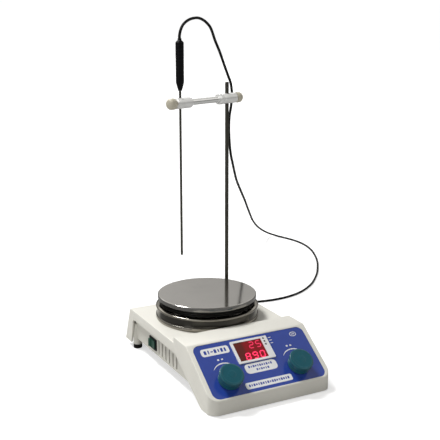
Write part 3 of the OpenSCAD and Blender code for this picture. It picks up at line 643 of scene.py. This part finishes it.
def make_cover():
    """The cover's outer skin as a height field over its plan, with rounded edges, then given a wall."""
    ahead = 20
    profile = rounded([(FRONT_Y - ahead, LIP_Z - ahead * math.tan(SLOPE)), (BROW_Y, TOP_Z, 7),
                       (STEP_Y - 0.5, TOP_Z, 1.6), (STEP_Y, DECK_Z, 0.8), (REAR_TOP_Y, DECK_Z, 3.5),
                       (REAR_Y, LEG_Z)], 6, closed=False)
    ys, zs = [p[0] for p in profile], [p[1] for p in profile]
    side = sorted((y for y in ys[1:] if y > FRONT_Y + FRONT_R), reverse=True)
    insets = [0, 0.05, 0.17, 0.36, 0.65, EDGE_R]

    def vert(x, y, drop=0.0):
        return bm.verts.new(((CASE_MID + x) * MM, y * MM, (float(np.interp(y, ys, zs)) - drop) * MM))

    def ring(d):
        """From the rear left, round the front, to the rear right, d mm in from the edge."""
        r = FRONT_R - d
        turns = [math.pi / 2 * i / 12 for i in range(13)]
        left = [(-HALF_W + d, y) for y in side]
        left += [(-HALF_W + FRONT_R - r * math.cos(a), FRONT_Y + FRONT_R - r * math.sin(a)) for a in turns]
        drop = EDGE_R - math.sqrt(EDGE_R ** 2 - (EDGE_R - d) ** 2)
        outline = left + [(0, FRONT_Y + d)] + [(-x, y) for x, y in left[::-1]]
        return [vert(x, y, drop if y < REAR_Y else 0) for x, y in outline]

    bm = bmesh.new()
    rings = [ring(d) for d in insets]
    for outer, inner in zip(rings, rings[1:]):
        for i in range(len(outer) - 1):
            bm.faces.new([outer[i], outer[i + 1], inner[i + 1], inner[i]])

    # Strips across the top; the rear wall and the slope have a hole each
    left, right = rings[-1], rings[-1][::-1]
    front = len(left) // 2
    brow = len(side) - 1
    middle = [vert(0, y) for y in side[:brow + 1]]
    across = Vector((CASE_MID, 0, 0))
    rear_hole = hole_ring(bm, *REAR_HOLE, REAR_MID + across, REAR_DOWN)
    holed_face(bm, [middle[0], left[0], left[1], middle[1]], rear_hole)
    holed_face(bm, [middle[0], right[0], right[1], middle[1]], rear_hole[:1] + rear_hole[:0:-1])
    for i in range(1, brow):
        for half in (left, right):
            bm.faces.new([half[i], half[i + 1], middle[i + 1], middle[i]])
    centre = BROW + across - PANEL_UP * (PANEL_FROM + PANEL_TO) / 2
    panel_hole = hole_ring(bm, PANEL_W + HOLE_MARGIN, PANEL_TO - PANEL_FROM + HOLE_MARGIN,
                           PANEL_R + HOLE_MARGIN / 2, centre, PANEL_UP)
    holed_face(bm, [middle[brow]] + left[brow:front + 1], panel_hole)
    holed_face(bm, [middle[brow]] + right[brow:front + 1], panel_hole[:1] + panel_hole[:0:-1])
    sink(bm, rear_hole, REAR_OUT * -REAR_SINK)
    bm.faces.new(sink(bm, panel_hole, PANEL_OUT * -PANEL_SINK))

    # Walls down to the lower edge, which rises over the chassis on both sides
    lower = rounded([(REAR_Y, LEG_Z), *SIDE_EDGE, (FRONT_Y + FRONT_R, CHIN_Z)], 5, closed=False)[1:]
    low_corners = []
    for half, x in ((rings[0], -HALF_W), (rings[0][::-1], HALF_W)):
        low = [bm.verts.new(((CASE_MID + x) * MM, y * MM, z * MM)) for y, z in lower]
        bm.faces.new(half[:len(side) + 1] + low[::-1])
        low_corners.append(low[-1])
    curve = rings[0][len(side):-len(side)]
    foot = [bm.verts.new((v.co.x, v.co.y, CHIN_Z * MM)) for v in curve[1:-1]]
    foot = [low_corners[0]] + foot + [low_corners[1]]
    for i in range(len(curve) - 1):
        bm.faces.new([curve[i], foot[i], foot[i + 1], curve[i + 1]])

    obj = from_bmesh("cover_shell", bm, 30)
    wall = obj.modifiers.new("wall", "SOLIDIFY")
    wall.thickness = COVER_WALL * MM
    wall.offset = -1
    wall.use_even_offset = True
    soften(obj, 0.25, angle=50)
    detail(obj, "cover_paint", "base", "upper_cover")


def hole_ring(bm, w, h, r, centre, up):
    """A round-cornered rectangle of vertices, from the middle of one side round by the left."""
    half = rounded([(0, h / 2), (-w / 2, h / 2, r), (-w / 2, -h / 2, r), (0, -h / 2)], 7, closed=False)
    outline = half + [(-x, y) for x, y in half[-2:0:-1]]
    return [bm.verts.new((centre + Vector((x, 0, 0)) + up * y) * MM) for x, y in outline]


def holed_face(bm, boundary, hole):
    """Half of a flat face with a hole. Boundary and hole both start at the same middle."""
    half = hole[:len(hole) // 2 + 1]
    bm.faces.new(boundary + half[::-1])


def sink(bm, hole, by):
    """Walls of a recess below a hole; gives back its lower edge."""
    low = [bm.verts.new(v.co + by * MM) for v in hole]
    for i in range(len(hole)):
        j = (i + 1) % len(hole)
        bm.faces.new([hole[i], hole[j], low[j], low[i]])
    return low


make_cover()
dress_cad_nodes()

# ---------------------------------------------------------------- chassis, panels and switch


part("lower_chassis", "base", 0.6)
part("rear_panel", "base", 0.3)
part("control_panel", "base", 0.2)
part("display_bezel", "base", 0.35)
part("switch_frame", "base", 0.35)
part("switch_rocker", "rocker", 0.4, look="switch_green")

# ---------------------------------------------------------------- panel print, display and knobs

# Print is a thin relief on the film: white first, blue on the white. Places are (x, s) in mm, where x
# is to the right of the panel's middle and s down the slope from the brow.
FILM_TOP = -0.3
PRINT_LOW, WHITE_TOP, BLUE_TOP = FILM_TOP - 0.1, FILM_TOP + 0.08, FILM_TOP + 0.14
KNOB_X, KNOB_S = 47.5, 56.0
WINDOW_X, WINDOW_S = -3.3, 22.9
NAME_X, NAME_S = -48, 14.3  # the label at the upper left
NOTE_S = 47.1  # the label below the display
STRIP_X, STRIP_S = 0.7, 68.8  # the long label below the knobs
EMBLEM_X, EMBLEM_S = 62, 12
TICKS_S = (10.3, 14.3, 18.3)
LAMPS_X, LAMPS_S = 19.6, (10.3, 14.6, 18.9)
# Widths in mm and relative heights of the bars that stand for wording
NAME_BARS = [(3.2, 1), (1.6, 1), (3.2, 0.3), (3.2, 1), (1.6, 0.8), (3.2, 1), (2.4, 1)]
NOTE_BARS = [(2.1, 1), (1.4, 0.8), (2.1, 1), (2.1, 0.7), (1.3, 1), (2.1, 1), (2.1, 0.8), (1.4, 1), (2.1, 1),
             (1.6, 0.7), (2.1, 1)]
CAPTION_BARS = [(2.6, 1), (2.6, 0.8)]
# Seven-segment digits: each segment's place in half widths and half heights, and whether it is upright
SEGMENTS = {"a": (0, 1, False), "d": (0, -1, False), "g": (0, 0, False), "f": (-1, 0.5, True),
            "b": (1, 0.5, True), "e": (-1, -0.5, True), "c": (1, -0.5, True)}
DIGITS = {0: "abcdef", 2: "abged", 5: "afgcd", 8: "abcdefg", 9: "abcdfg"}
DIGIT_W, DIGIT_H, DIGIT_BAR, DIGIT_LEAN = 5.6, 8.4, 1.5, 0.12
# Each row's name and s, and the x and value of its lit digits
READOUTS = [("top", 16.2, ((0.4, 2), (9.9, 5))), ("low", 30.9, ((-10.2, 8), (-0.4, 9), (9.4, 0)))]
DIGIT_GLOW = {"top": glowing("dim digits", (0.72, 0.025, 0.085), 0.95),
              "low": glowing("bright digits", (1.0, 0.035, 0.12), 1.25)}


def ellipse(half_w, half_h):
    turns = [2 * math.pi * k / 48 for k in range(48)]
    return [(half_w * math.cos(t), half_h * math.sin(t)) for t in turns]


def print_mark(name, outline, x, s, slot_name="white_plastic", top=WHITE_TOP):
    return detail(on_panel(prism(name, outline, PRINT_LOW, top), x, s), slot_name)


def swoosh(radius, start, end, width):
    """A tapered arc, measured from straight up, clockwise."""
    steps = 24
    angles = [math.radians(start + (end - start) * i / steps) for i in range(steps + 1)]
    swell = [width * math.sin(math.pi * (i + 0.5) / (steps + 1)) ** 0.7 / 2 for i in range(steps + 1)]
    outer = [((radius + w) * math.sin(a), (radius + w) * math.cos(a)) for a, w in zip(angles, swell)]
    inner = [((radius - w) * math.sin(a), (radius - w) * math.cos(a)) for a, w in zip(angles, swell)]
    return outer + inner[::-1]


def bars(name, x, s, sizes, height, pitch, slot_name="panel_film"):
    """A row of short printed bars, standing in for wording."""
    x0 = x - pitch * (len(sizes) - 1) / 2
    top = BLUE_TOP if slot_name == "panel_film" else WHITE_TOP
    for i, (w, share) in enumerate(sizes):
        h = height * share
        outline = round_rect(w, h, 0.25 * min(w, h), 3)
        print_mark(f"{name}_{i}", outline, x0 + pitch * i, s, slot_name, top)


def make_print():
    """White and blue print on the panel; wording is replaced by plain bars."""
    print_mark("plate_left", round_rect(37, 10.6, 3.2), NAME_X, NAME_S)
    bars("left_bar", NAME_X, NAME_S, NAME_BARS, 5.2, 4.4)
    print_mark("plate_middle", round_rect(43, 13.4, 5), 0, NOTE_S)
    bars("middle_bar", -0.5, NOTE_S - 2.5, NOTE_BARS, 3.1, 3.0)
    bars("middle_low_bar", 1, NOTE_S + 2.6, NOTE_BARS[:6], 2.9, 3.0)
    print_mark("plate_low", round_rect(63, 8.6, 2.4), STRIP_X, STRIP_S)
    bars("low_bar", STRIP_X, STRIP_S, NOTE_BARS + NOTE_BARS[2:9], 3.4, 3.1)
    for name, x in (("speed", -KNOB_X), ("heat", KNOB_X)):
        print_mark(name + "_arc", swoosh(17.7, -52, 46, 1.5), x + 1.6, KNOB_S - 6)
        bars(name + "_mark", x + 1.0, KNOB_S - 29.1, CAPTION_BARS, 2.2, 5.2, "white_plastic")
    for i, s in enumerate(TICKS_S):
        print_mark(f"tick_{i}", round_rect(3.6, 0.8, 0.2), 28.8, s)
    ring = prism("round_mark", ellipse(4.8, 3.3), PRINT_LOW - FILM_TOP, WHITE_TOP - FILM_TOP)
    cut(ring, prism("cutter", ellipse(3.9, 2.4), -1, 1))
    detail(on_panel(ring, EMBLEM_X, EMBLEM_S, FILM_TOP), "white_plastic")
    print_mark("round_mark_bar", round_rect(4.4, 1.1, 0.5), EMBLEM_X, EMBLEM_S)


def make_digit(row, value, x, s):
    """Seven-segment digit, leaning a little, lying just on the window."""
    parts = []
    for letter in DIGITS[value]:
        across, up, upright = SEGMENTS[letter]
        half = ((DIGIT_H / 2 if upright else DIGIT_W) - 0.25) / 2
        tip = DIGIT_BAR / 2
        shape = [(-half, 0), (-half + tip, tip), (half - tip, tip), (half, 0), (half - tip, -tip),
                 (-half + tip, -tip)]
        if upright:
            shape = [(-b, a) for a, b in shape]
        shape = [(px + across * DIGIT_W / 2, py + up * DIGIT_H / 2) for px, py in shape]
        parts.append(prism("segment", [(px + DIGIT_LEAN * py, py) for px, py in shape], 0, 0.1))
    digit = on_panel(joined(f"{row}_digit_{value}", parts), x, s, 0.58)
    dress(digit, DIGIT_GLOW[row], "base", "red_window")


def make_display():
    window = on_panel(prism("window", round_rect(38.3, 26.3, 0.6), -2, 0.6, 0.2), WINDOW_X, WINDOW_S)
    detail(window, "red_window", "base", "display_window")
    for row, s, digits in READOUTS:
        for x, value in digits:
            make_digit(row, value, x, s)
    lamps = []
    for s in LAMPS_S:
        lamp = lathe("lamp", [(1.3, -7.2), (1.3, 0.3), (1.15, 0.9, 0.5), (0, 1.35)], 32)
        lamps.append(on_panel(lamp, LAMPS_X, s))
    detail(joined("lamps", lamps), "lamp_plastic", "base", "indicator_lamps")


def make_knob(name, x, body, node):
    """Thimble-shaped knob: broad cap with a shallow ring in it, waisted body, hollow underneath."""
    profile = [(0, 3.2), (7.5, 3.2), (7.5, 0.3), (8.3, 0), (13.2, 0, 0.5), (13.8, 0.5, 0.4), (12.7, 5.0, 4),
               (13.0, 7.4, 0.6), (13.2, 8.0, 0.4), (14.6, 8.2, 0.4), (15.0, 8.8, 0.5), (15.0, 12.3, 1.0),
               (12.4, 12.95, 0.8), (11.6, 12.7, 0.3), (5, 12.75, 2), (4.2, 12.95, 0.3), (0, 13)]
    detail(on_panel(lathe(name, profile), x, KNOB_S, 0.4), "teal_plastic", body, node)


make_print()
make_display()
make_knob("left_knob", -KNOB_X, "speed_control", "speed_knob")
make_knob("right_knob", KNOB_X, "temperature_control", "temperature_knob")

# ---------------------------------------------------------------- heating plate

PLATE_Y = 39.0
PLATE_R, BOWL_R = 65.0, 67.7


def on_plate_axis(obj):
    return place(obj, (0, PLATE_Y, 0))


def make_plate():
    r = PLATE_R
    disc = [(0, PLATE_TOP - 1.6), (r - 1.6, PLATE_TOP - 1.6, 0.6), (r - 1.6, COLLAR_TOP + 0.4, 0.2),
            (r - 1.2, COLLAR_TOP, 0.3), (r, COLLAR_TOP + 0.3, 0.5), (r, PLATE_TOP - 0.7, 0.7),
            (r - 0.9, PLATE_TOP, 0.8), (r - 1.9, PLATE_TOP - 0.05, 0.3), (0, PLATE_TOP)]
    plate = on_plate_axis(lathe("plate_disc", disc, 192, 4))
    # The plate's side band is darker than its top: painted reflection
    detail(plate, "polished_steel", "base", "hot_plate", look="plate_steel_painted_reflection")

    z = BOWL_TOP
    fins = [(52, z), (60.5, z), (60.5, z + 1.6), (62.6, z + 1.6, 0.25), (62.6, z + 2.2, 0.25),
            (60.5, z + 2.2), (60.5, z + 4), (63.4, z + 4, 0.25), (63.4, z + 4.6, 0.25), (61, z + 4.6),
            (61, COLLAR_TOP), (52, COLLAR_TOP)]
    collar = on_plate_axis(lathe("collar", fins, 192, 3, closed=True))
    detail(collar, "dark_metal", "base", "plate_collar")

    r = BOWL_R
    low = DECK_Z
    shell = [(r - 4.8, low + 1.2), (r - 4.8, z), (r - 3, z, 0.8), (r, z - 1, 1.2), (r, z - 3.2, 0.9),
             (r - 2.8, z - 3.9, 0.5), (r - 1.2, low + 5.4, 0.3), (r - 0.1, low + 4.8, 0.6),
             (r + 0.3, low + 2.4, 2), (r - 0.4, low, 0.6), (20, low), (20, low + 1.2)]
    bowl = on_plate_axis(lathe("bowl_shell", shell, 192, 6, closed=True))
    # The bowl's wall is darkened between its light foot band and its rim: painted reflection
    detail(bowl, "polished_steel", "base", "bowl", look="bowl_steel_painted_reflection")


make_plate()

# ---------------------------------------------------------------- feet and rear fittings

# Each foot's x, y and height
FEET = [(CASE_MID + side * x, y, h) for x, y, h in ((74, 107, 6), (61.5, -112, 3)) for side in (1, -1)]
FUSE_X = -8.0
RATING_X, LINE_PITCH = 50.5, 2.7
SCREW_X, SCREW_DOWN = 60.5, 14.5


def cross_slot(screw, length, width, low, high):
    """Cuts a cross into a screw's head."""
    sizes = ((length, width), (width, length))
    return cut(screw, *[prism("slot", round_rect(w, h, 0.1, 2), low, high) for w, h in sizes])


def make_feet():
    feet, screws = [], []
    for x, y, h in FEET:
        foot = lathe("foot", [(2.6, 0.2), (3.2, 0, 0.2), (5.4, 0, 0.5), (6, 0.9, 0.5), (5.9, h, 0.2),
                              (1.6, h), (1.6, h - 1.5), (2.6, h - 1.5)], 64, 4, closed=True)
        feet.append(place(foot, (x, y, 0)))
        head = h - 2.3
        screw = lathe("screw", [(0, head), (2.0, head, 0.3), (2.4, head + 0.5, 0.3), (2.4, head + 0.8),
                                (1.4, head + 0.8), (1.4, h + 7.3, 0.3), (0, h + 7.5)], 40, 3)
        cross_slot(screw, 3.4, 0.5, head - 0.3, head + 0.35)
        screws.append(place(screw, (x, y, 0)))
    detail(joined("feet", feet), "rubber", "base", "rubber_feet")
    detail(joined("foot_screws", screws), "bright_metal", "base", "case_screws")


def make_fuse():
    holder = lathe("holder", [(3.9, -22), (3.9, 1.9), (4.2, 2.2), (7.4, 2.2, 0.4), (8, 1.5, 0.4), (8, 0),
                              (6, 0), (6, -24, 0.5), (4.4, -24)], 80, 4, closed=True)
    detail(on_rear(holder, FUSE_X), "black_plastic", "base", "fuse_holder")
    cap = lathe("cap", [(0, 0), (2.8, 0), (2.8, -4), (3.8, -4, 0.3), (3.8, 0), (6.2, 0), (6.6, 0.4),
                        (6.6, 3.4, 0.6), (5.8, 4.2, 0.6), (0, 4.2)], 80, 4)
    cut(cap, prism("slot", round_rect(1.2, 10, 0.2, 2), 3.2, 6))
    count, rim = 24, 6.5
    grips = []
    for k in range(count):
        a = 2 * math.pi * k / count
        grip = lathe("grip", [(0, 0.5), (0.3, 0.5), (0.3, 3.3), (0, 3.5)], 8, 1)
        grips.append(place(grip, (rim * math.cos(a), rim * math.sin(a), 0)))
    cap = joined("fuse_cap_shape", [cap] + grips)
    detail(on_rear(cap, FUSE_X, 2.55), "black_plastic", "fuse_drawer", "fuse_cap")


def make_rear():
    part("mains_inlet", "base", 0.5)
    part("inlet_pins", "base", 0.3)
    make_fuse()
    part("probe_socket", "base", 0.25)
    screws = []
    for down in (-SCREW_DOWN, SCREW_DOWN):
        for x in (-SCREW_X, SCREW_X):
            head = lathe("head", [(0, 0), (2.7, 0), (2.7, 0.5, 0.4), (1.7, 1.5, 0.8), (0, 1.7)], 40, 4)
            cross_slot(head, 3.2, 0.55, 0.9, 3)
            screws.append(on_rear(head, CASE_MID + x, 0, down))
    detail(joined("rear_screws", screws), "bright_metal")
    plate = on_rear(prism("rating_plate", round_rect(22, 17, 1), 0, 0.25, 0.1), RATING_X)
    detail(plate, "white_plastic")
    for i in range(5):
        line = prism(f"rating_line_{i}", round_rect(16 - 3 * (i % 3), 1.1, 0.3, 2), 0.2, 0.32)
        detail(on_rear(line, RATING_X - 1, 0, LINE_PITCH * (2 - i)), "black_plastic")


make_feet()
make_rear()

# ---------------------------------------------------------------- stand, clamp and probe

ROD = Vector((58, 92.5, 0))
ROD_R, SHEATH_R = 2.5, 1.5
ROD_TOP, ROD_FOOT, ARM_Z = 357.8, 37.5, 336.0
ARM_ANGLE = math.radians(22.4)
ARM = Vector((math.cos(ARM_ANGLE), math.sin(ARM_ANGLE), 0))
ARM_LEN = 92.5
PROBE = ROD - ARM * ARM_LEN
TIP_Z, HANDLE_Z, HANDLE_TOP, RELIEF_TOP = 138.0, 351.5, 413.0, 416.0


def on_arm(obj, d=0.0, flip=1):
    """Puts an object on the clamp arm, d mm out from the rod, its Z along the arm."""
    return place(obj, ROD + Vector((0, 0, ARM_Z)) + ARM * d, ARM * flip, (0, 0, 1))


def vertical_hole(obj, centre, radius):
    """Bores a finished object straight through, about an upright axis."""
    bore = lathe("bore", [(0, -20), (radius, -20), (radius, 20), (0, 20)], 48)
    return cut(obj, place(bore, centre + Vector((0, 0, ARM_Z))))


def make_stand():
    top = ROD_TOP - ROD_FOOT
    rod = lathe("rod", [(0, 0), (ROD_R, 0), (ROD_R, top - 0.6, 0.3), (2.0, top, 0.2), (0, top)], 48, 3)
    detail(place(rod, ROD + Vector((0, 0, ROD_FOOT))), "rod_steel", "stand", "support_rod")
    part("rod_nut", "base", 0.3)


def make_clamp():
    """Profiles run along the arm: the rod's boss from the rod, the probe's boss from the probe."""
    boss = lathe("boss", [(4.0, -18), (6.6, -18, 0.5), (7.2, -17.4, 0.4), (7.2, -12.2, 0.5), (6.1, -12, 0.2),
                          (6.1, -10, 0.2), (6.9, -9.8, 0.5), (6.9, 15.4, 0.8), (5.9, 16.5, 0.4), (2.55, 16.5),
                          (2.55, 0), (4.0, -1)], 96, 4, closed=True)
    vertical_hole(on_arm(boss), ROD, ROD_R + 0.05)
    detail(boss, "cast_alloy", "clamp", "rod_boss")
    bar = lathe("bar", [(0, 11 - ARM_LEN), (4.0, 11 - ARM_LEN), (4.0, -10), (0, -10)])
    detail(on_arm(bar), "chrome_plate", "clamp", "cross_rod")
    tip = lathe("tip", [(2.55, -9.2), (4.6, -9.2, 0.5), (6.9, -7.7, 0.6), (6.9, 17.6, 0.9), (5.9, 19, 0.5),
                        (4.0, 19), (4.0, 11), (2.55, 1)], 96, 4, closed=True)
    vertical_hole(on_arm(tip, -ARM_LEN), PROBE, SHEATH_R + 0.05)
    detail(tip, "cast_alloy", "clamp", "probe_boss")


def make_thumbscrew(name, pin, face, d, flip, body, node):
    """A domed knob at the boss's face, on a screw that ends just short of the rod or probe it holds."""
    dome = [(4.2, 0.35, 0.3), (4.6, 0.8, 0.2), (4.6, 1.35, 0.2), (5.6, 1.4, 0.4), (6.5, 2.0, 0.8),
            (7.2, 4.2, 2), (7.0, 9.2, 3), (5.2, 11.8, 2.4), (0, 12.2)]
    end = pin + 0.35
    profile = [(0, end), (1.9, end, 0.2), (2.5, end + 0.6, 0.2), (2.5, face + 0.35)]
    profile += [(r, z + face, *fillet) for r, z, *fillet in dome]
    detail(on_arm(lathe(name, profile, 72), d, flip), "cream_plastic", body, node)


def make_probe():
    top = HANDLE_Z + 11
    sheath = lathe("sheath", [(0, TIP_Z), (SHEATH_R, TIP_Z, 1.4), (SHEATH_R, top), (0, top)], 40, 6)
    detail(place(sheath, PROBE), "rod_steel", "probe", "probe_sheath")
    z, top = HANDLE_Z, HANDLE_TOP
    grooves, first, pitch = 9, 20, 4.4
    grip = []
    for i in range(grooves):
        level = z + first + i * pitch
        grip += [(5.2, level, 0.2), (5.1, level + 0.4, 0.2), (5.1, level + 0.8, 0.2), (5.2, level + 1.2, 0.2)]
    profile = [(0, z), (2.3, z, 0.5), (3.6, z + 4.5, 3), (5.2, z + 10.5, 5)] + grip
    profile += [(5.2, top - 2.2, 1.8), (3.4, top, 1), (2.6, top + 0.4, 0.3), (2.3, RELIEF_TOP, 0.3)]
    handle = lathe("handle", profile + [(0, RELIEF_TOP)], 64, 4)
    detail(place(handle, PROBE), "black_plastic", "probe", "probe_handle")


make_stand()
make_clamp()
make_thumbscrew("rod_knob", ROD_R, 16.5, 0, 1, "rod_screw", "rod_thumbscrew")
make_thumbscrew("probe_knob", SHEATH_R, 9.2, -ARM_LEN, -1, "probe_screw", "probe_thumbscrew")
make_probe()

# ---------------------------------------------------------------- studio

# Brightness of the studio by height, from straight down (0) over the horizon (0.5) to straight up (1)
ROOM = [(0.0, 0.20), (0.45, 0.08), (0.50, 0.03), (0.555, 0.06), (0.575, 0.20), (0.61, 0.38), (0.68, 0.46),
        (0.73, 1.05), (0.86, 1.05), (0.91, 0.35), (1.0, 0.30)]
FILL = [(0.0, 0.5), (0.45, 0.74), (0.60, 0.64), (0.80, 0.22), (1.0, 0.16)]
BACKDROP = (1.02, 1.02, 1.02, 1)
FLOOR_HALF = 9.0
# Each sun's name, the way its light goes, its strength, and its spread in degrees
SUNS = [("key", (0.24, -0.42, -0.86), 3.0, 16), ("fill", (0.85, 0.30, -0.42), 0.6, 50)]


def make_world():
    """White behind the object; a grey room with a dark horizon for reflections."""
    world = bpy.data.worlds.new("studio")
    n = Nodes(world, "Generated")
    height = n.span(n.split(n.coords)[2], 0, 1, -1, 1)

    def by_height(levels):
        return n.ramp(height, [(at, (value, value * 0.985, value * 0.95)) for at, value in levels])

    def choose(kind, otherwise, value):
        """One colour for light paths of a kind, and another for the rest."""
        mix = n.new("ShaderNodeMix", n.light_path(kind), data_type="RGBA")
        n.feed(mix.inputs[6], otherwise)
        n.feed(mix.inputs[7], value)
        return mix.outputs[2]

    patches = n.span(n.noise(1.6, 2.0, roughness=0.5), 0.55, 1.45, 0.35, 0.65)
    room = n.new("ShaderNodeVectorMath", by_height(ROOM), operation="SCALE", Scale=patches)
    lit = choose("Is Glossy Ray", by_height(FILL), room.outputs[0])
    n.feed(n.tree.nodes["Background"].inputs[0], choose("Is Camera Ray", lit, BACKDROP))
    bpy.context.scene.world = world


def make_floor():
    """Paper that is nearly white to the camera, and greyer to the light that it bounces."""
    bm = bmesh.new()
    corners = [(-1, -1), (1, -1), (1, 1), (-1, 1)]
    bm.faces.new([bm.verts.new((x * FLOOR_HALF, y * FLOOR_HALF, 0)) for x, y in corners])
    floor = from_bmesh("floor", bm)
    n = Surface("floor paper")
    matt = {"Roughness": 0.9, "Specular IOR Level": 0.0}
    for name, value in {"Base Color": (0.36, 0.36, 0.355, 1), **matt}.items():
        n.look(name, value)
    paper = {"Base Color": n.between(n.noise(4, 3.0), (0.62, 0.62, 0.62), (0.64, 0.64, 0.64)),
             "Emission Color": (1, 1, 1, 1), "Emission Strength": 0.55}
    bright = n.new("ShaderNodeBsdfPrincipled", **paper, **matt)
    mix = n.new("ShaderNodeMixShader", n.light_path("Is Camera Ray"), n.shader.outputs[0], bright.outputs[0])
    n.feed(n.tree.nodes["Material Output"].inputs["Surface"], mix.outputs[0])
    floor.data.materials.append(n.material)


def make_suns():
    for name, toward, energy, spread in SUNS:
        data = bpy.data.lights.new(name, "SUN")
        data.energy = energy
        data.angle = math.radians(spread)
        light = link(bpy.data.objects.new(name, data))
        light.rotation_mode = "QUATERNION"
        light.rotation_quaternion = Vector(toward).to_track_quat("-Z", "Y")
        light.location = Vector(toward) * -3


bpy.context.scene.view_settings.view_transform = "Standard"
make_world()
make_floor()
make_suns()
